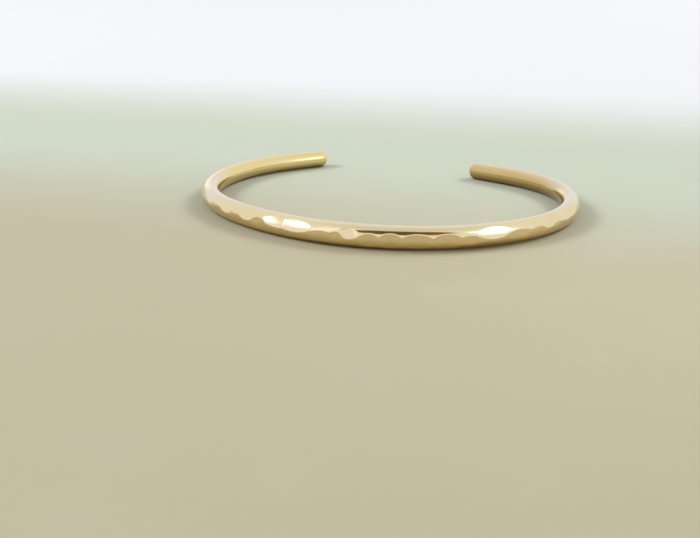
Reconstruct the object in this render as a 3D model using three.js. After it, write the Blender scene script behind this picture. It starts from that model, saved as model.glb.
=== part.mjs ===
/*
 * Open cuff bangle: one forged bar of gold-coloured brass, hammered on the face that
 * looks away from the wrist and bent into a C that is open at the back.
 * It lies on its side on Z = 0. Millimetres, +Z up, -Y the closed front, +Y the gap.
 */
import * as THREE from 'three';
import { mergeVertices } from 'three/addons/utils/BufferGeometryUtils.js';

// The bar, measured along its middle line from the left end to the right one.
const BAR_LENGTH = 144.9;
const END_ROUNDING = 1.15; // radius of the soft edge round each blunt end
const FRONT_HEADING = 1.4; // degrees that the bar turns inwards at the middle of the front

// The bar at every eighth of its length, from the left end to the right one. Bend is the
// radius that its middle line is bent to there; thick is across the wrist wall, tall is up.
const STATIONS = [
  { bend: Infinity, thick: 2.79, tall: 3.1 },
  { bend: 21, thick: 2.97, tall: 3.3 },
  { bend: 19.5, thick: 3.15, tall: 3.5 },
  { bend: 43.5, thick: 3.24, tall: 3.6 },
  { bend: 37.5, thick: 3.29, tall: 3.65 },
  { bend: 33, thick: 3.24, tall: 3.6 },
  { bend: 20, thick: 3.15, tall: 3.5 },
  { bend: 17, thick: 2.97, tall: 3.3 },
  { bend: Infinity, thick: 2.79, tall: 3.1 },
];

// Hammer blows. At is the distance along the bar from the middle of the front, tilt the
// angle in degrees that the struck spot looks up, depth how far the hammer went in, and
// crown the radius that the spot is hollowed to along the bar.
const FACET_BELLY = 9; // radius that a struck spot stays rounded to from top to bottom
const FRONT_BLOWS = [
  { at: -42, tilt: 27, depth: 0.06, crown: 200 },
  { at: -33.9, tilt: 27, depth: 0.12, crown: 40 },
  { at: -30.6, tilt: 24, depth: 0.13, crown: 9 },
  { at: -27.6, tilt: -7, depth: 0.11, crown: 7 },
  { at: -24.9, tilt: 22, depth: 0.15, crown: 7 },
  { at: -22.3, tilt: -10, depth: 0.07, crown: 6 },
  { at: -19.9, tilt: 22, depth: 0.17, crown: 7 },
  { at: -17.2, tilt: 0, depth: 0.17, crown: 5.6 },
  { at: -13.6, tilt: 26, depth: 0.2, crown: 18 },
  { at: -10.6, tilt: 24, depth: 0.25, crown: 17 },
  { at: -5.9, tilt: -5, depth: 0.13, crown: 13 },
  { at: -3.6, tilt: -2, depth: 0.14, crown: 5 },
  { at: -1.8, tilt: 15, depth: 0.15, crown: 8 },
  { at: 1.3, tilt: -7, depth: 0.24, crown: 4.9 },
  { at: 4.4, tilt: -7, depth: 0.32, crown: 5.2 },
  { at: 8.2, tilt: -8, depth: 0.31, crown: 9.5 },
  { at: 12.6, tilt: -7, depth: 0.31, crown: 8 },
  { at: 15.9, tilt: -6, depth: 0.12, crown: 9 },
  { at: 19.6, tilt: 21, depth: 0.2, crown: 14 },
  { at: 23.9, tilt: 1, depth: 0.11, crown: 17 },
  { at: 27.3, tilt: -4, depth: 0.1, crown: 12 },
  { at: 29.6, tilt: 22, depth: 0.13, crown: 7 },
  { at: 33, tilt: -9, depth: 0.08, crown: 7 },
  { at: 35.4, tilt: -9, depth: 0.08, crown: 7 },
  { at: 35.2, tilt: 28, depth: 0.13, crown: 40 },
  { at: 43, tilt: 26, depth: 0.05, crown: 200 },
];

// Past the front the blows go on at an even pace along both arms, lighter to the ends.
const ARM_BLOWS_START = { left: 45.9, right: 44.4 };
const ARM_BLOW_PITCH = 3.9;
const ARM_BLOW_TILT = 6; // swings this far up and down from one blow to the next
const ARM_BLOW_DEPTH = 0.13;
const ARM_BLOW_CROWN = 9;
const LAST_BLOW_TO_END = 6;

// Fineness of the faceted solid.
const SIDES = 20; // a flat side is lowest, so the bar has a narrow flat to rest on
const RINGS_ALONG = 200;
const RINGS_IN_ROUNDING = 4;
const WALK_STEPS = 1600;

const GOLD = { color: 0xdcc183, roughness: 0.18, metalness: 1 };

/** Value of one column of a table of evenly spaced rows, eased from row to row. */
function easedColumn(rows, share, read) {
  const spot = THREE.MathUtils.clamp(share, 0, 1) * (rows.length - 1);
  const row = Math.min(Math.floor(spot), rows.length - 2);
  const ease = THREE.MathUtils.smoothstep(spot - row, 0, 1);
  return THREE.MathUtils.lerp(read(rows[row]), read(rows[row + 1]), ease);
}

/** Middle line of the bent bar: position and heading at even steps along it. */
function walkMiddleLine() {
  const step = BAR_LENGTH / WALK_STEPS;
  const line = [{ x: 0, y: 0, heading: 0 }];
  for (let i = 0; i < WALK_STEPS; i += 1) {
    const last = line[i];
    const turn = step * easedColumn(STATIONS, (i + 0.5) / WALK_STEPS, (row) => 1 / row.bend);
    const course = last.heading + turn / 2;
    line.push({
      x: last.x + step * Math.cos(course),
      y: last.y + step * Math.sin(course),
      heading: last.heading + turn,
    });
  }
  return line;
}

/** Turns the line so that its middle has the front's heading. */
function aimFront(line) {
  const turn = THREE.MathUtils.degToRad(FRONT_HEADING) - line[WALK_STEPS / 2].heading;
  return line.map(({ x, y, heading }) => ({
    x: x * Math.cos(turn) - y * Math.sin(turn),
    y: x * Math.sin(turn) + y * Math.cos(turn),
    heading: heading + turn,
  }));
}

/** The blows along one arm; side is -1 for the left arm and 1 for the right. */
function armBlows(side, start) {
  const reach = BAR_LENGTH / 2 - LAST_BLOW_TO_END;
  const count = Math.floor((reach - start) / ARM_BLOW_PITCH) + 1;
  return Array.from({ length: count }, (_, i) => ({
    at: side * (start + i * ARM_BLOW_PITCH),
    tilt: ARM_BLOW_TILT * Math.sin(2.4 * i),
    depth: ARM_BLOW_DEPTH * (1 - (0.5 * i) / count),
    crown: ARM_BLOW_CROWN,
  }));
}

/** How much of a point's distance from the bar's middle the hammer leaves. */
function keptByHammer(out, up, place, half, blows) {
  let kept = 1;
  for (const { at, tilt, depth, crown } of blows) {
    const aim = THREE.MathUtils.degToRad(tilt);
    const reach = out * Math.cos(aim) + up * Math.sin(aim);
    if (reach <= 0.2) continue;
    const across = up * Math.cos(aim) - out * Math.sin(aim);
    const skin = Math.hypot(half.thick * Math.cos(aim), half.tall * Math.sin(aim));
    const dish = (place - at) ** 2 / (2 * crown) - across ** 2 / (2 * FACET_BELLY);
    kept = Math.min(kept, (skin - depth + dish) / reach);
  }
  return kept;
}

/** Place of a ring along the bar: close together in the end roundings, even between. */
function ringPlace(ring) {
  const fromEnd = Math.min(ring, RINGS_ALONG - ring);
  let place = END_ROUNDING * (1 - Math.cos(((Math.PI / 2) * fromEnd) / RINGS_IN_ROUNDING));
  if (fromEnd > RINGS_IN_ROUNDING) {
    const even = (BAR_LENGTH - 2 * END_ROUNDING) / (RINGS_ALONG - 2 * RINGS_IN_ROUNDING);
    place = END_ROUNDING + even * (fromEnd - RINGS_IN_ROUNDING);
  }
  return ring <= RINGS_ALONG / 2 ? place : BAR_LENGTH - place;
}

/** How far the soft edge draws the skin in, this far from the nearer end. */
function drawnIn(fromEnd) {
  const rise = Math.max(END_ROUNDING - fromEnd, 0);
  return END_ROUNDING - Math.sqrt(END_ROUNDING ** 2 - rise ** 2);
}

/** Moves the vertices of a plain cylinder to the hammered and bent bar. */
function forgeBar() {
  const bar = new THREE.CylinderGeometry(1, 1, RINGS_ALONG, SIDES, RINGS_ALONG);
  bar.rotateY(Math.PI / SIDES);
  const line = aimFront(walkMiddleLine());
  const blows = [
    ...FRONT_BLOWS,
    ...armBlows(-1, ARM_BLOWS_START.left),
    ...armBlows(1, ARM_BLOWS_START.right),
  ];
  const flatToCorner = 1 / Math.cos(Math.PI / SIDES);
  const spots = bar.getAttribute('position');
  const spot = new THREE.Vector3();
  for (let i = 0; i < spots.count; i += 1) {
    spot.fromBufferAttribute(spots, i);
    const place = ringPlace(Math.round(spot.y + RINGS_ALONG / 2));
    const share = place / BAR_LENGTH;
    const half = {
      thick: easedColumn(STATIONS, share, (row) => row.thick) / 2,
      tall: easedColumn(STATIONS, share, (row) => row.tall) / 2,
    };
    const soft = drawnIn(Math.min(place, BAR_LENGTH - place));
    const out = spot.x * flatToCorner * (half.thick - soft);
    const up = spot.z * flatToCorner * (half.tall - soft);
    const kept = keptByHammer(out, up, place - BAR_LENGTH / 2, half, blows);
    const { x, y, heading } = line[Math.round(share * WALK_STEPS)];
    spot.set(
      x + kept * out * Math.sin(heading),
      y - kept * out * Math.cos(heading),
      half.tall + kept * up,
    );
    spots.setXYZ(i, spot.x, spot.y, spot.z);
  }
  bar.deleteAttribute('normal');
  bar.deleteAttribute('uv');
  return mergeVertices(bar);
}

/** Puts the middle of the shape's footprint at the origin, with its underside at Z = 0. */
function seat(shape) {
  shape.computeBoundingBox();
  const { min, max } = shape.boundingBox;
  shape.translate(-(min.x + max.x) / 2, -(min.y + max.y) / 2, -min.z);
  shape.computeVertexNormals();
  return shape;
}

const cuffBar = new THREE.Mesh(seat(forgeBar()), new THREE.MeshStandardMaterial(GOLD));
cuffBar.name = 'cuff_bar';

const group = new THREE.Group();
group.add(cuffBar);

export default group;
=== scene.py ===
"""Looks for an open cuff bangle: one hammered and polished bar of pale gold plate on brass.

The cuff lies on its side on Z = 0, with its closed front towards -Y and its gap towards +Y.
Lengths are in millimetres, apart from those that say that they are in metres.
"""

import logging
import math
from dataclasses import dataclass, field
from enum import Enum

import bmesh
import bpy
import numpy as np
from mathutils import Matrix, Vector


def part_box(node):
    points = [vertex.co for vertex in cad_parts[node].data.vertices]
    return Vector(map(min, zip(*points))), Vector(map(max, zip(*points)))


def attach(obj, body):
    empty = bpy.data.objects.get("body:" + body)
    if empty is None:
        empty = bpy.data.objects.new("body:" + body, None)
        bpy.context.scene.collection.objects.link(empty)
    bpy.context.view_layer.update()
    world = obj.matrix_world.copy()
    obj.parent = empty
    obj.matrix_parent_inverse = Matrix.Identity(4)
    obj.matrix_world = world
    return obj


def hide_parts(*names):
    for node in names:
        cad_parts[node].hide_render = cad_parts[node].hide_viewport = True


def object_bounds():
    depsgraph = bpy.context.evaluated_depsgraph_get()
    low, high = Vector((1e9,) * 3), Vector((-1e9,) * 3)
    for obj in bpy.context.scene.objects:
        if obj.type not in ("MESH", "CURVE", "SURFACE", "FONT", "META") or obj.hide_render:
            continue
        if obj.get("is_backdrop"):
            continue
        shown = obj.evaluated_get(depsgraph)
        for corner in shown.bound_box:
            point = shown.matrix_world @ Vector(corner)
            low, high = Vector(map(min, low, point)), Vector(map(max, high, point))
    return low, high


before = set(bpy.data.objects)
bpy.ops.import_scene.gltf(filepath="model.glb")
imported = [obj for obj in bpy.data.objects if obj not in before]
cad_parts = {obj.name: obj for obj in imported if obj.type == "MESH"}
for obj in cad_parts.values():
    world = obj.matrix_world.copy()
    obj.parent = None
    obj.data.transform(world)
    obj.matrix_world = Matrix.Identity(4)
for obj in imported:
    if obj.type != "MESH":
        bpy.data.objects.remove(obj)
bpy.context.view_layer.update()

MM = 0.001
LOG = logging.getLogger("bangle")
Socket = bpy.types.NodeSocket

# A Mix node has its sockets once for each kind of value under the same names, so they go by number.
SHARE = 0
NUMBER_A, NUMBER_B, NUMBER_OUT = 2, 3, 0
COLOUR_A, COLOUR_B, COLOUR_OUT = 6, 7, 2

NOISE_SPREAD = (0.3, 0.7)  # nearly all of a noise lies between these


# ---------------------------------------------------------------- small helpers


def linear(colour: str) -> tuple[float, float, float, float]:
    """Turns an sRGB hex colour into the linear colour that a shader takes.

    Args:
        colour: Six hex digits after a #.

    Returns:
        Red, green and blue, linear from 0 to 1, and an alpha of 1.
    """
    shares = [int(colour[i : i + 2], 16) / 255 for i in (1, 3, 5)]
    # The sRGB curve: straight close to black, and a power above that.
    red, green, blue = (c / 12.92 if c <= 0.04045 else ((c + 0.055) / 1.055) ** 2.4 for c in shares)
    return (red, green, blue, 1.0)


def add_node(
    tree: bpy.types.NodeTree, kind: str, links: dict[str | int, object] | None = None, **settings: object
) -> bpy.types.Node:
    """Adds one node to a tree, with its settings and what feeds it.

    Args:
        tree: The node tree that gets the node.
        kind: Blender's name for the node type.
        links: Input name or number to the output socket or the plain value that it takes.
        settings: Properties of the node itself.

    Returns:
        The new node.
    """
    node = tree.nodes.new(kind)
    for name, value in settings.items():
        setattr(node, name, value)
    for name, source in (links or {}).items():
        if isinstance(source, Socket):
            tree.links.new(source, node.inputs[name])
        else:
            node.inputs[name].default_value = source
    return node


def new_material(name: str) -> tuple[bpy.types.Material, bpy.types.NodeTree]:
    """Makes an empty node material.

    Args:
        name: The material's name.

    Returns:
        The material and its cleared node tree.
    """
    material = bpy.data.materials.new(name)
    material.use_nodes = True
    material.node_tree.nodes.clear()
    return material, material.node_tree


def add_object(name: str, mesh: bpy.types.Mesh, material: bpy.types.Material) -> bpy.types.Object:
    """Puts a mesh in the scene as an object at the origin, with one material.

    Args:
        name: The object's name.
        mesh: The mesh, already in its place.
        material: What it is made of.

    Returns:
        The new object.
    """
    mesh.materials.append(material)
    thing = bpy.data.objects.new(name, mesh)
    bpy.context.scene.collection.objects.link(thing)
    return thing


# ---------------------------------------------------------------- finishes


@dataclass(frozen=True)
class PolishedGoldPlate:
    """Pale yellow gold plate on brass, hammered, then polished on a soft wheel.

    To the eye it is a warm mirror: nearly white where it takes the bright room, straw and
    bronze where it takes the table, with a faint bloom from the wheel's hairlines.
    """

    colour: str = "#f0ddb5"  # pale 14 carat yellow
    deep_colour: str = "#ecd6a9"  # where the plate is a little richer

    left_arm_painted_reflection_colour: str = "#f0d89e"  # the left arm, a shade richer than the front: a painted reflection, warming what the arm mirrors
    left_arm_painted_reflection_along_mm: tuple[float, float] = (40.0, 26.0)  # from the left end: its start, and full

    painted_low_shade_colour: str = "#e9ca82"  # painted shade: low on the bar the gold is deeper and darker, standing in for the shaded table that it mirrors
    painted_low_shade_height_mm: tuple[float, float] = (-1.5, 0.2)  # over the middle line: full, and gone
    painted_arm_shade_colour: str = "#c5a874"  # painted shade low on both arms, darker where they mirror their own shadows on the table
    left_arm_painted_shade: float = 0.35  # share of that painted shade on the left arm, next to the right one

    painted_inner_shade_colour: str = "#ddceae"  # painted shade that darkens the inside of the right arm, where it mirrors its shadow on the table
    painted_inner_shade_along_mm: tuple[float, float] = (110.0, 130.0)  # from the left end: its start, and full
    painted_inner_shade_slant_mm: tuple[float, float] = (2.2, -1.4)  # out plus up: none on top, full at the inner foot

    roughness: float = 0.13
    roughness_swing: float = 0.05  # from the brightest patches to the dullest
    patch_mm: float = 6.0  # size of the uneven, hand-polished patches
    patch_detail: float = 3.0
    end_roughness: float = 0.06  # what handling adds at the very ends
    handled_mm: tuple[float, float] = (60.0, 70.0)  # from the front's middle: its start, and full

    hairline_pitch_mm: float = 0.09  # wheel hairlines, drawn coarser than real ones so that they show
    hairline_stretch: float = 30.0  # how much longer than wide a hairline is
    hairline_detail: float = 2.0
    hairline_height_mm: float = 0.0006
    orange_peel_mm: float = 0.7  # soft ripple that polishing leaves in the skin
    orange_peel_detail: float = 1.0
    orange_peel_height_mm: float = 0.002

    def tint(
        self, tree: bpy.types.NodeTree, spot: tuple[Socket, Socket, Socket], patches: Socket
    ) -> Socket:
        """Mixes the gold's colour, which shifts from the front to both arms and from top to foot, with
        painted shade low down and on the arms' insides and a painted warmer reflection on the left arm.

        Args:
            tree: The material's node tree.
            spot: A point's place in the straight bar: along, out and up, in mm.
            patches: The noise of the hand-polished patches.

        Returns:
            The colour.
        """
        along, out, up = spot
        # Masks for the left arm's painted reflection, the right arm's painted shade and the painted
        # shade low on the bar.
        on_left, on_right, out_of_painted_low_shade = (
            add_node(
                tree,
                "ShaderNodeMapRange",
                {"Value": value, "From Min": start, "From Max": full},
                interpolation_type="SMOOTHSTEP",
            ).outputs["Result"]
            for value, (start, full) in (
                (along, self.left_arm_painted_reflection_along_mm),
                (along, self.painted_inner_shade_along_mm),
                (up, self.painted_low_shade_height_mm),
            )
        )
        plain = add_node(
            tree,
            "ShaderNodeMix",
            {SHARE: patches, COLOUR_A: linear(self.colour), COLOUR_B: linear(self.deep_colour)},
            data_type="RGBA",
        ).outputs[COLOUR_OUT]
        # A warmer tint painted on the left arm: a painted reflection of warmer surroundings.
        upper = add_node(
            tree,
            "ShaderNodeMix",
            {SHARE: on_left, COLOUR_A: plain, COLOUR_B: linear(self.left_arm_painted_reflection_colour)},
            data_type="RGBA",
        ).outputs[COLOUR_OUT]
        # Painted shade low on the arms: full on the right arm, a share of it on the left.
        left = add_node(
            tree, "ShaderNodeMath", {0: on_left, 1: self.left_arm_painted_shade}, operation="MULTIPLY"
        ).outputs["Value"]
        arms = add_node(
            tree, "ShaderNodeMath", {0: on_right, 1: left}, operation="MAXIMUM"
        ).outputs["Value"]
        under = add_node(
            tree,
            "ShaderNodeMix",
            {SHARE: arms, COLOUR_A: linear(self.painted_low_shade_colour), COLOUR_B: linear(self.painted_arm_shade_colour)},
            data_type="RGBA",
        ).outputs[COLOUR_OUT]
        # Painted shade low on the bar, fading out towards the top.
        shade = add_node(
            tree,
            "ShaderNodeMix",
            {SHARE: out_of_painted_low_shade, COLOUR_A: under, COLOUR_B: upper},
            data_type="RGBA",
        ).outputs[COLOUR_OUT]
        slant = add_node(tree, "ShaderNodeMath", {0: out, 1: up}, operation="ADD").outputs["Value"]
        top, foot = self.painted_inner_shade_slant_mm
        # Painted shade on the inside of the right arm: none on top, full at its foot.
        inner_shade_share = add_node(
            tree,
            "ShaderNodeMapRange",
            {"Value": slant, "From Min": top, "From Max": foot, "To Max": on_right},
            interpolation_type="SMOOTHSTEP",
        ).outputs["Result"]
        return add_node(
            tree,
            "ShaderNodeMix",
            {SHARE: inner_shade_share, COLOUR_A: shade, COLOUR_B: linear(self.painted_inner_shade_colour)},
            data_type="RGBA",
            blend_type="MULTIPLY",
        ).outputs[COLOUR_OUT]

    def dullness(self, tree: bpy.types.NodeTree, along: Socket, patches: Socket) -> Socket:
        """Sets how dull the polish is, patch by patch, and duller at the handled ends.

        Args:
            tree: The material's node tree.
            along: A point's distance from the left end, in mm.
            patches: The noise of the hand-polished patches.

        Returns:
            The roughness.
        """
        swing = self.roughness_swing / 2
        least, most = NOISE_SPREAD
        rough = add_node(
            tree,
            "ShaderNodeMapRange",
            {
                "Value": patches,
                "From Min": least,
                "From Max": most,
                "To Min": self.roughness - swing,
                "To Max": self.roughness + swing,
            },
        ).outputs["Result"]
        past = add_node(
            tree, "ShaderNodeMath", {0: along, 1: CuffBar.length / 2}, operation="SUBTRACT"
        ).outputs["Value"]
        from_middle = add_node(tree, "ShaderNodeMath", {0: past}, operation="ABSOLUTE").outputs["Value"]
        start, full = self.handled_mm
        handled = add_node(
            tree,
            "ShaderNodeMapRange",
            {"Value": from_middle, "From Min": start, "From Max": full, "To Max": self.end_roughness},
            interpolation_type="SMOOTHSTEP",
        ).outputs["Result"]
        return add_node(tree, "ShaderNodeMath", {0: rough, 1: handled}, operation="ADD").outputs["Value"]

    def relief(self, tree: bpy.types.NodeTree, place: Socket) -> Socket:
        """Raises the soft ripple in the skin, and the wheel's hairlines on top of it.

        Args:
            tree: The material's node tree.
            place: A point's place in the straight bar, in mm.

        Returns:
            The bumped normal.
        """
        peel = add_node(
            tree,
            "ShaderNodeTexNoise",
            {"Vector": place, "Scale": 1 / self.orange_peel_mm, "Detail": self.orange_peel_detail},
        ).outputs["Fac"]
        pitch = 1 / self.hairline_pitch_mm
        stretched = add_node(
            tree,
            "ShaderNodeMapping",
            {"Vector": place, "Scale": (pitch / self.hairline_stretch, pitch, pitch)},
        ).outputs["Vector"]
        lines = add_node(
            tree,
            "ShaderNodeTexNoise",
            {"Vector": stretched, "Scale": 1.0, "Detail": self.hairline_detail},
        ).outputs["Fac"]
        skin = add_node(
            tree,
            "ShaderNodeBump",
            {"Height": peel, "Distance": self.orange_peel_height_mm * MM, "Strength": 1.0},
        ).outputs["Normal"]
        return add_node(
            tree,
            "ShaderNodeBump",
            {"Height": lines, "Distance": self.hairline_height_mm * MM, "Strength": 1.0, "Normal": skin},
        ).outputs["Normal"]

    def material(self) -> bpy.types.Material:
        """Builds the node material, whose patterns follow the straight bar.

        Returns:
            The gold material.
        """
        material, tree = new_material("polished_gold_plate")
        place = add_node(tree, "ShaderNodeAttribute", attribute_name=CuffBar.STRAIGHT).outputs["Vector"]
        parts = add_node(tree, "ShaderNodeSeparateXYZ", {"Vector": place}).outputs
        spot = (parts["X"], parts["Y"], parts["Z"])
        patches = add_node(
            tree,
            "ShaderNodeTexNoise",
            {"Vector": place, "Scale": 1 / self.patch_mm, "Detail": self.patch_detail},
        ).outputs["Fac"]
        metal = add_node(
            tree,
            "ShaderNodeBsdfPrincipled",
            {
                "Base Color": self.tint(tree, spot, patches),
                "Metallic": 1.0,
                "Roughness": self.dullness(tree, parts["X"], patches),
                "Normal": self.relief(tree, place),
            },
        )
        add_node(tree, "ShaderNodeOutputMaterial", {"Surface": metal.outputs["BSDF"]})
        return material


@dataclass(frozen=True)
class TrowelledPlaster:
    """Pale, warm grey plaster board, floated smooth and left matt. It is only a plain floor.

    The eye takes it for one tone with hardly a cloud in it, a little cooler behind the
    bangle and paler far off.
    """

    colour: str = "#968b6e"  # under the front of the bangle
    cool_colour: str = "#9e9e87"  # behind it
    drift_mm: float = 60.0  # how far the first tone takes to turn into the second
    cloud_mm: float = 14.0  # size of the faint clouds that the float leaves
    cloud_detail: float = 4.0
    cloud_depth: float = 0.12  # how far they sway the tone, as a share of the drift
    pale_colour: str = "#bab4ab"  # far from it, where the board is unsoiled
    pale_behind_mm: tuple[float, float] = (45.0, 130.0)  # how far back it starts to pale, and is pale
    pale_round_mm: tuple[float, float] = (110.0, 300.0)  # the same on every side
    roughness: float = 0.85

    def material(self) -> bpy.types.Material:
        """Builds the floor's plain matt material.

        Returns:
            The plaster material.
        """
        material, tree = new_material("trowelled_plaster")
        place = add_node(tree, "ShaderNodeTexCoord").outputs["Object"]
        back = add_node(tree, "ShaderNodeSeparateXYZ", {"Vector": place}).outputs["Y"]
        off = add_node(tree, "ShaderNodeVectorMath", {0: place}, operation="LENGTH").outputs["Value"]
        half_drift = self.drift_mm / 2
        drift, far_back, far_off = (
            add_node(
                tree,
                "ShaderNodeMapRange",
                {"Value": value, "From Min": near * MM, "From Max": far * MM},
                interpolation_type="SMOOTHSTEP",
            ).outputs["Result"]
            for value, (near, far) in (
                (back, (-half_drift, half_drift)),
                (back, self.pale_behind_mm),
                (off, self.pale_round_mm),
            )
        )
        clouds = add_node(
            tree,
            "ShaderNodeTexNoise",
            {"Vector": place, "Scale": 1 / (self.cloud_mm * MM), "Detail": self.cloud_detail},
        ).outputs["Fac"]
        uneven = add_node(
            tree,
            "ShaderNodeMapRange",
            {"Value": clouds, "To Min": -self.cloud_depth, "To Max": self.cloud_depth},
        ).outputs["Result"]
        share = add_node(tree, "ShaderNodeMath", {0: drift, 1: uneven}, operation="ADD").outputs["Value"]
        tone = add_node(
            tree,
            "ShaderNodeMix",
            {SHARE: share, COLOUR_A: linear(self.colour), COLOUR_B: linear(self.cool_colour)},
            data_type="RGBA",
        ).outputs[COLOUR_OUT]
        clean = add_node(
            tree, "ShaderNodeMath", {0: far_back, 1: far_off}, operation="MAXIMUM"
        ).outputs["Value"]
        tone = add_node(
            tree,
            "ShaderNodeMix",
            {SHARE: clean, COLOUR_A: tone, COLOUR_B: linear(self.pale_colour)},
            data_type="RGBA",
        ).outputs[COLOUR_OUT]
        board = add_node(
            tree, "ShaderNodeBsdfPrincipled", {"Base Color": tone, "Roughness": self.roughness}
        )
        add_node(tree, "ShaderNodeOutputMaterial", {"Surface": board.outputs["BSDF"]})
        return material


# ---------------------------------------------------------------- the bangle


@dataclass(frozen=True)
class Station:
    """The bar at one of the evenly spaced stations from its left end to its right one."""

    bend: float  # radius that the middle line is bent to, in mm
    thick: float  # across the wrist wall, in mm
    tall: float  # up, in mm


@dataclass(frozen=True)
class Blow:
    """One hammer blow on the face that looks away from the wrist."""

    at: float  # along the bar from the middle of the front, in mm
    tilt: float  # how far up the struck spot looks, in degrees
    depth: float  # how far the hammer went in, in mm
    crown: float = 9.0  # radius that the spot is hollowed to along the bar, in mm


STATIONS = (
    Station(bend=math.inf, thick=2.79, tall=3.1),
    Station(bend=21, thick=2.97, tall=3.3),
    Station(bend=19.5, thick=3.15, tall=3.5),
    Station(bend=43.5, thick=3.24, tall=3.6),
    Station(bend=37.5, thick=3.29, tall=3.65),
    Station(bend=33, thick=3.24, tall=3.6),
    Station(bend=20, thick=3.15, tall=3.5),
    Station(bend=17, thick=2.97, tall=3.3),
    Station(bend=math.inf, thick=2.79, tall=3.1),
)

FRONT_BLOWS = (
    Blow(at=-42.0, tilt=27, depth=0.06, crown=200),
    Blow(at=-33.9, tilt=27, depth=0.12, crown=40),
    Blow(at=-30.6, tilt=24, depth=0.13, crown=9),
    Blow(at=-27.6, tilt=-7, depth=0.11, crown=7),
    Blow(at=-24.9, tilt=22, depth=0.15, crown=7),
    Blow(at=-22.3, tilt=-10, depth=0.07, crown=6),
    Blow(at=-19.9, tilt=22, depth=0.17, crown=7),
    Blow(at=-17.2, tilt=0, depth=0.17, crown=5.6),
    Blow(at=-13.6, tilt=26, depth=0.2, crown=18),
    Blow(at=-10.6, tilt=24, depth=0.25, crown=17),
    Blow(at=-5.9, tilt=-5, depth=0.13, crown=13),
    Blow(at=-3.6, tilt=-2, depth=0.14, crown=5),
    Blow(at=-1.8, tilt=15, depth=0.15, crown=8),
    Blow(at=1.3, tilt=-7, depth=0.24, crown=4.9),
    Blow(at=4.4, tilt=-7, depth=0.32, crown=5.2),
    Blow(at=8.2, tilt=-8, depth=0.31, crown=9.5),
    Blow(at=12.6, tilt=-7, depth=0.31, crown=8),
    Blow(at=15.9, tilt=-6, depth=0.12, crown=9),
    Blow(at=19.6, tilt=21, depth=0.2, crown=14),
    Blow(at=23.9, tilt=1, depth=0.11, crown=17),
    Blow(at=27.3, tilt=-4, depth=0.1, crown=12),
    Blow(at=29.6, tilt=22, depth=0.13, crown=7),
    Blow(at=33.0, tilt=-9, depth=0.08, crown=7),
    Blow(at=35.4, tilt=-9, depth=0.08, crown=7),
    Blow(at=35.2, tilt=28, depth=0.13, crown=40),
    Blow(at=43.0, tilt=26, depth=0.05, crown=200),
)


class Arm(Enum):
    """The two arms: the way along the bar, and how far from the front's middle even blows start."""

    LEFT = (-1, 45.9)
    RIGHT = (1, 44.4)


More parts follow.
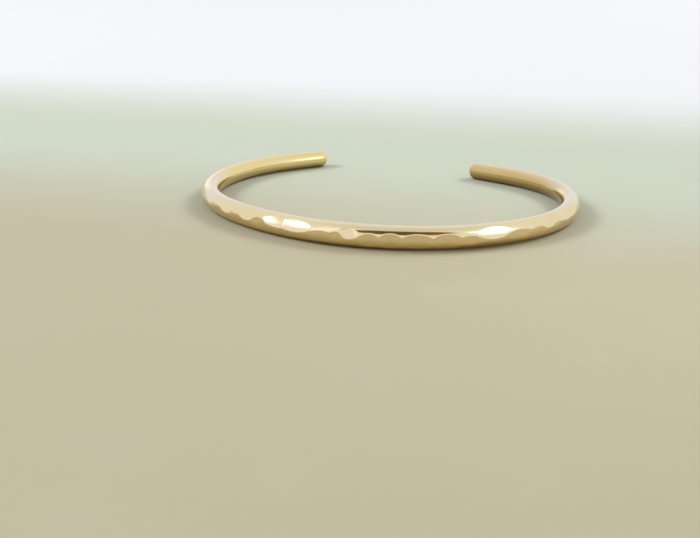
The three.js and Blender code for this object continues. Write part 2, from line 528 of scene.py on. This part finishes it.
@dataclass
class CuffBar:
    """The whole bangle: a bar forged straight, hammered on one face and bent to an open C."""

    STRAIGHT = "straight_bar"  # the mesh attribute that keeps each point's place in the straight bar
    UNSTRUCK = 9.0  # a share that is safely over 1, for points that a blow doesn't face

    length: float = 144.9  # along the middle line
    end_rounding: float = 1.15  # radius of the soft edge round each blunt end
    end_dome: float = 0.1  # how far each end face swells at its middle
    front_heading: float = 1.4  # degrees that the bar turns inwards at the middle of the front
    stations: tuple[Station, ...] = STATIONS
    front_blows: tuple[Blow, ...] = FRONT_BLOWS
    arm_blow_pitch: float = 3.9
    arm_blow_tilt: float = 6.0  # degrees that the blows on the arms swing up and down
    arm_blow_swing: float = 2.4  # radians that the swing goes on from one blow to the next
    arm_blow_depth: float = 0.13
    arm_blow_fade: float = 0.5  # share of that depth that is lost towards the ends
    last_blow_to_end: float = 6.0
    skin_inset: float = 0.012  # keeps the fine skin inside the box of the coarser solid
    ridge_softness: float = 0.008  # share of the radius over which two struck spots blend at a ridge
    facet_belly: float = 9.0  # radius that a struck spot stays rounded to from top to bottom
    least_reach: float = 0.2  # a blow doesn't reach points that face it less than this
    sides: int = 96
    rings: int = 960
    rings_in_rounding: int = 12
    cap_rings: int = 6
    cap_inset: float = 0.9  # how far in from the rim those rings go, as a share of the radius
    cap_facing: float = 0.9  # least share of a cap's normal that points along the rod
    walk_steps: int = 9600  # along the middle line
    finish: PolishedGoldPlate = field(default_factory=PolishedGoldPlate)

    def column(self, share: np.ndarray, values: list[float]) -> np.ndarray:
        """Eases one column of the station table from row to row.

        Args:
            share: Places along the bar, from 0 at its left end to 1 at its right.
            values: The column, one value a station.

        Returns:
            The column's value at each place.
        """
        rows = np.asarray(values)
        spot = np.clip(share, 0, 1) * (len(rows) - 1)
        row = np.minimum(spot.astype(int), len(rows) - 2)
        part = spot - row
        ease = part * part * (3 - 2 * part)
        return rows[row] * (1 - ease) + rows[row + 1] * ease

    def middle_line(self) -> tuple[np.ndarray, np.ndarray, np.ndarray]:
        """Walks along the bent bar's middle line.

        Returns:
            Two arrays of places in mm and one of headings in radians, at even steps.
        """
        step = self.length / self.walk_steps
        share = (np.arange(self.walk_steps) + 0.5) / self.walk_steps
        turn = step * self.column(share, [1 / row.bend for row in self.stations])
        heading = np.concatenate([[0.0], np.cumsum(turn)])
        heading += math.radians(self.front_heading) - heading[self.walk_steps // 2]
        course = (heading[1:] + heading[:-1]) / 2
        x = np.concatenate([[0.0], np.cumsum(step * np.cos(course))])
        y = np.concatenate([[0.0], np.cumsum(step * np.sin(course))])
        return x, y, heading

    def blows(self) -> list[Blow]:
        """Lists the blows on the front and the evenly paced ones along both arms.

        Returns:
            Every blow on the bar.
        """
        every = list(self.front_blows)
        reach = self.length / 2 - self.last_blow_to_end
        for arm in Arm:
            side, start = arm.value
            count = int((reach - start) / self.arm_blow_pitch) + 1
            for i in range(count):
                every.append(
                    Blow(
                        at=side * (start + i * self.arm_blow_pitch),
                        tilt=self.arm_blow_tilt * math.sin(self.arm_blow_swing * i),
                        depth=self.arm_blow_depth * (1 - self.arm_blow_fade * i / count),
                    )
                )
        return every

    def kept_by_hammer(
        self, out: np.ndarray, up: np.ndarray, place: np.ndarray, thick: np.ndarray, tall: np.ndarray
    ) -> np.ndarray:
        """Works out how much of each point's distance from the bar's middle the hammer leaves.

        Args:
            out: Distance outwards from the middle line, in mm.
            up: Distance up from the middle line, in mm.
            place: Distance along the bar from the middle of the front, in mm.
            thick: Half the bar's thickness there, in mm.
            tall: Half the bar's height there, in mm.

        Returns:
            The share of the distance that is left, at each point.
        """
        kept = np.ones_like(out)
        soft = self.ridge_softness
        for blow in self.blows():
            aim = math.radians(blow.tilt)
            reach = out * math.cos(aim) + up * math.sin(aim)
            across = up * math.cos(aim) - out * math.sin(aim)
            skin = np.hypot(thick * math.cos(aim), tall * math.sin(aim))
            dish = (place - blow.at) ** 2 / (2 * blow.crown) - across**2 / (2 * self.facet_belly)
            struck = (skin - blow.depth + dish) / np.maximum(reach, self.least_reach)
            left = np.where(reach > self.least_reach, struck, self.UNSTRUCK)
            near = np.maximum(soft - np.abs(kept - left), 0)
            # The lower of the two, with the ridge between them rounded off.
            kept = np.minimum(kept, left) - near**2 / (4 * soft)
        return kept

    def straight_bar(self) -> bpy.types.Mesh:
        """Makes a plain rod of unit radius, one unit long a ring, with the caps in rings too.

        Returns:
            The rod's mesh, along Z.
        """
        rod = bmesh.new()
        bmesh.ops.create_cone(
            rod, cap_ends=True, segments=self.sides, radius1=1.0, radius2=1.0, depth=self.rings
        )
        bmesh.ops.rotate(rod, verts=rod.verts, matrix=Matrix.Rotation(math.pi / self.sides, 3, "Z"))
        cap_to_cap = [e for e in rod.edges if abs(e.verts[0].co.z - e.verts[1].co.z) > 1]
        bmesh.ops.subdivide_edges(rod, edges=cap_to_cap, cuts=self.rings - 1, use_grid_fill=True)
        caps = [f for f in rod.faces if abs(f.normal.z) > self.cap_facing]
        inset = self.cap_inset / self.cap_rings
        for _ in range(self.cap_rings):
            bmesh.ops.inset_region(rod, faces=caps, thickness=inset, use_even_offset=True)
        mesh = bpy.data.meshes.new("cuff_bar_skin")
        rod.to_mesh(mesh)
        rod.free()
        return mesh

    def ring_place(self, ring: np.ndarray) -> np.ndarray:
        """Gives each ring its place along the bar, close together in the end roundings.

        Args:
            ring: Ring numbers from the left end.

        Returns:
            Distances from the left end, in mm.
        """
        from_end = np.minimum(ring, self.rings - ring)
        curl = np.minimum(from_end / self.rings_in_rounding, 1) * math.pi / 2
        even = (self.length - 2 * self.end_rounding) / (self.rings - 2 * self.rings_in_rounding)
        past = np.maximum(from_end - self.rings_in_rounding, 0) * even
        place = self.end_rounding * (1 - np.cos(curl)) + past
        return np.where(ring <= self.rings / 2, place, self.length - place)

    def forge(self, mesh: bpy.types.Mesh) -> None:
        """Moves the rod's vertices to the hammered and bent bar, and keeps their straight places.

        Args:
            mesh: The plain rod, whose X goes up, Y out and Z along.
        """
        spots = np.empty(len(mesh.vertices) * 3)
        mesh.vertices.foreach_get("co", spots)
        up, out, along = spots.reshape(-1, 3).T
        ring = np.round(along + self.rings / 2)
        place = self.ring_place(ring)
        dome = self.end_dome * (1 - np.minimum(out**2 + up**2, 1))
        share = place / self.length
        thick = self.column(share, [row.thick for row in self.stations]) / 2 - self.skin_inset
        tall = self.column(share, [row.tall for row in self.stations]) / 2 - self.skin_inset
        rise = np.maximum(self.end_rounding - np.minimum(place, self.length - place), 0)
        soft = self.end_rounding - np.sqrt(self.end_rounding**2 - rise**2)
        out, up = out * (thick - soft), up * (tall - soft)
        kept = self.kept_by_hammer(out, up, place - self.length / 2, thick, tall)
        out, up = out * kept, up * kept
        x, y, heading = self.middle_line()
        stop = np.round(share * self.walk_steps).astype(int)
        course = heading[stop]
        onward = np.where(ring == 0, -dome, np.where(ring == self.rings, dome, 0))
        bent = np.stack(
            [
                x[stop] + out * np.sin(course) + onward * np.cos(course),
                y[stop] - out * np.cos(course) + onward * np.sin(course),
                tall + up,
            ],
            axis=1,
        )
        middle = (bent.min(axis=0) + bent.max(axis=0)) / 2
        low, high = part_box("cuff_bar")
        home = (np.array(low) + np.array(high)) / 2
        bent = (bent - middle) * MM
        bent[:, :2] += home[:2]
        bent[:, 2] += low[2] - bent[:, 2].min()
        mesh.vertices.foreach_set("co", bent.ravel())
        kept_place = mesh.attributes.new(self.STRAIGHT, "FLOAT_VECTOR", "POINT")
        kept_place.data.foreach_set("vector", np.stack([place, out, up], axis=1).ravel())

    def build(self) -> bpy.types.Object:
        """Makes the bangle, dresses it and ties it to the frame.

        Returns:
            The bangle's object.
        """
        mesh = self.straight_bar()
        self.forge(mesh)
        mesh.shade_smooth()
        piece = add_object("cuff", mesh, self.finish.material())
        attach(piece, "root")
        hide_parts("cuff_bar")
        LOG.info("cuff: %d faces", len(mesh.polygons))
        return piece


# ---------------------------------------------------------------- the studio


CAMERA_AZIMUTH = 15.2  # degrees that the camera looks round to the left, from the right of the front


@dataclass(frozen=True)
class Bearing:
    """A direction from the bangle, as the camera's operator sees it."""

    azimuth: float  # degrees round to the right, from straight back at the camera
    elevation: float  # degrees above the table

    @property
    def turn(self) -> float:
        """Gives the angle round to the right of the bangle's front, in radians."""
        return math.radians(CAMERA_AZIMUTH + self.azimuth)

    @property
    def lift(self) -> float:
        """Gives the angle above the table, in radians."""
        return math.radians(self.elevation)

    def unit(self) -> Vector:
        """Gives the direction as a vector of length 1 in the frame that the bangle is in."""
        level = math.cos(self.lift)
        return Vector((math.sin(self.turn) * level, -math.cos(self.turn) * level, math.sin(self.lift)))


@dataclass(frozen=True)
class Patch:
    """A soft-edged oval part of the room that is brighter or dimmer than the rest.

    It has a twin straight opposite, most of which is under the floor.
    """

    name: str
    bearing: Bearing
    reach: tuple[float, float]  # half its width and half its height, in degrees
    glow: float  # radiance, where 1 shows as white
    colour: str
    edge: float  # share of the patch that fades out


@dataclass(frozen=True)
class SoftBox:
    """A soft studio lamp aimed at the bangle."""

    name: str
    bearing: Bearing
    distance: float  # in metres
    width: float  # in metres
    height: float  # in metres
    glow: float  # how brightly its face shines
    colour: str = "#ffffff"
    seen_in_metal: bool = True
    aim: tuple[float, float, float] = (0.0, 0.0, 0.0)  # the spot that it faces, in mm
    grid: float = 180.0  # full angle that its honeycomb lets light out at, in degrees

    def build(self) -> bpy.types.Object:
        """Hangs the lamp and turns it to the bangle.

        Returns:
            The lamp's object.
        """
        lamp = bpy.data.lights.new(self.name, "AREA")
        lamp.shape = "RECTANGLE"
        lamp.size, lamp.size_y = self.width, self.height
        lamp.color = linear(self.colour)[:3]
        half = math.radians(self.grid / 2)
        lamp.spread = 2 * half
        # A narrower grid swallows light, and doesn't make the face any brighter.
        kept = 1 - half / math.tan(half)
        lamp.energy = self.glow * kept * math.pi * self.width * self.height
        thing = bpy.data.objects.new(self.name, lamp)
        thing.location = self.bearing.unit() * self.distance
        facing = thing.location - Vector(self.aim) * MM
        thing.rotation_euler = facing.to_track_quat("Z", "Y").to_euler()
        thing.visible_glossy = self.seen_in_metal
        thing.visible_camera = False
        bpy.context.scene.collection.objects.link(thing)
        LOG.info("%s: %.3g W", self.name, lamp.energy)
        return thing


@dataclass
class Studio:
    """A plain pale table under soft light, and the camera."""

    PATCH_DEPTH = 1000.0  # stretches a patch's oval through the room, so that only its outline counts

    floor_size: float = 3.0  # in metres
    room_glow: float = 0.95  # radiance, where 1 shows as white
    room_colour: str = "#f8fdfb"
    patches: tuple[Patch, ...] = (
        Patch("ceiling", Bearing(0, 90), (34, 34), glow=0.8, colour="#f8feff", edge=0.6),
        Patch("back_wall", Bearing(-168, 16), (80, 50), glow=1.16, colour="#e2e8ff", edge=0.55),
        Patch("behind_left", Bearing(-160, 8), (16, 14), glow=1.3, colour="#f6f2f0", edge=0.7),
        Patch("left_glow", Bearing(-68, 14), (22, 16), glow=1.06, colour="#f4f2ff", edge=0.8),
        Patch("right_glow", Bearing(62, 34), (26, 28), glow=1.06, colour="#f4f4ff", edge=0.8),
        Patch("over_the_lens", Bearing(-6, 50), (25, 20), glow=0.12, colour="#ffeeb0", edge=0.12),
        Patch("amber_glint", Bearing(15, 36), (10, 8), glow=0.8, colour="#ff9440", edge=0.5),
        Patch("left_window", Bearing(-48, 33), (8, 40), glow=1.36, colour="#f0f0ff", edge=0.4),
    )
    lamps: tuple[SoftBox, ...] = (
        SoftBox(
            "key_left",
            Bearing(-98, 38),
            distance=1.4,
            width=0.7,
            height=0.44,
            glow=26.0,
            colour="#d8e6ff",
            seen_in_metal=False,
        ),
        SoftBox(
            "key_right",
            Bearing(118, 40),
            distance=1.4,
            width=0.7,
            height=0.44,
            glow=20.0,
            colour="#e3edff",
            seen_in_metal=False,
        ),
        SoftBox(
            "left_strip",
            Bearing(-57, 19.8),
            distance=0.064,
            width=0.008,
            height=0.0045,
            glow=5.0,
            aim=(-10.0, -20.8, 1.8),
            grid=40,
        ),
        SoftBox(
            "left_veil",
            Bearing(-57, 19.8),
            distance=0.065,
            width=0.0105,
            height=0.0078,
            glow=1.5,
            aim=(-10.0, -20.8, 1.8),
            grid=60,
        ),
        SoftBox(
            "right_window",
            Bearing(46.8, 27.6),
            distance=0.115,
            width=0.035,
            height=0.046,
            glow=4.5,
            colour="#f2f2ff",
            aim=(18.5, -18.0, 1.8),
            grid=80,
        ),
    )
    floor_finish: TrowelledPlaster = field(default_factory=TrowelledPlaster)
    camera_place: tuple[float, float, float] = (33.24, -145.28, 44.66)  # in mm
    camera_pitch: float = 20.85  # degrees that it looks down
    lens: float = 45.77  # in mm, on the sensor below
    sensor: float = 36.0  # in mm
    nearest: float = 0.005  # in metres: nothing closer to the camera is drawn

    def build_floor(self) -> bpy.types.Object:
        """Lays the floor that the bangle rests on.

        Returns:
            The floor's object.
        """
        board = bmesh.new()
        bmesh.ops.create_grid(board, x_segments=1, y_segments=1, size=self.floor_size / 2)
        mesh = bpy.data.meshes.new("floor")
        board.to_mesh(mesh)
        board.free()
        floor = add_object("floor", mesh, self.floor_finish.material())
        floor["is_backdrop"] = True
        return floor

    def build_room(self) -> None:
        """Fills the room with an even pale light, and with its brighter and dimmer patches."""
        world = bpy.data.worlds.new("room")
        bpy.context.scene.world = world
        world.use_nodes = True
        tree = world.node_tree
        tree.nodes.clear()
        way = add_node(tree, "ShaderNodeTexCoord").outputs["Generated"]
        glow, colour = self.room_glow, linear(self.room_colour)
        for patch in self.patches:
            place = patch.bearing
            wide, high = (math.sin(math.radians(half)) for half in patch.reach)
            off = add_node(
                tree,
                "ShaderNodeMapping",
                {
                    "Vector": way,
                    "Rotation": (-place.lift, 0, place.turn),
                    "Scale": (wide, self.PATCH_DEPTH, high),
                },
                vector_type="TEXTURE",
            ).outputs["Vector"]
            far = add_node(tree, "ShaderNodeVectorMath", {0: off}, operation="LENGTH").outputs["Value"]
            inside = add_node(
                tree,
                "ShaderNodeMapRange",
                {"Value": far, "From Min": 1.0, "From Max": 1 - patch.edge},
                interpolation_type="SMOOTHSTEP",
            ).outputs["Result"]
            glow = add_node(
                tree,
                "ShaderNodeMix",
                {SHARE: inside, NUMBER_A: glow, NUMBER_B: patch.glow},
                data_type="FLOAT",
            ).outputs[NUMBER_OUT]
            colour = add_node(
                tree,
                "ShaderNodeMix",
                {SHARE: inside, COLOUR_A: colour, COLOUR_B: linear(patch.colour)},
                data_type="RGBA",
            ).outputs[COLOUR_OUT]
        air = add_node(tree, "ShaderNodeBackground", {"Color": colour, "Strength": glow})
        add_node(tree, "ShaderNodeOutputWorld", {"Surface": air.outputs["Background"]})

    def build_camera(self) -> bpy.types.Object:
        """Stands the camera low in front of the bangle, a little to its right.

        Returns:
            The camera's object.
        """
        camera = bpy.data.objects.new("camera", bpy.data.cameras.new("camera"))
        camera.location = Vector(self.camera_place) * MM
        tilt = math.radians(90 - self.camera_pitch)
        camera.rotation_euler = (tilt, 0, math.radians(CAMERA_AZIMUTH))
        camera.data.lens = self.lens
        camera.data.sensor_width = self.sensor
        camera.data.clip_start = self.nearest
        bpy.context.scene.collection.objects.link(camera)
        bpy.context.scene.camera = camera
        return camera

    def build(self) -> None:
        """Sets the floor, the room, the camera and the lamps."""
        self.build_floor()
        self.build_room()
        self.build_camera()
        for lamp in self.lamps:
            lamp.build()
        bpy.context.scene.view_settings.view_transform = "Standard"


def main() -> None:
    """Builds the studio and the bangle, and reports each piece."""
    logging.basicConfig(level=logging.INFO, format="%(name)s: %(message)s")
    Studio().build()
    piece = CuffBar().build()
    low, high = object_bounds()
    size = [(high[i] - low[i]) / MM for i in range(3)]
    LOG.info("%s: %.2f x %.2f x %.2f mm", piece.name, *size)


if __name__ == "__main__":
    main()
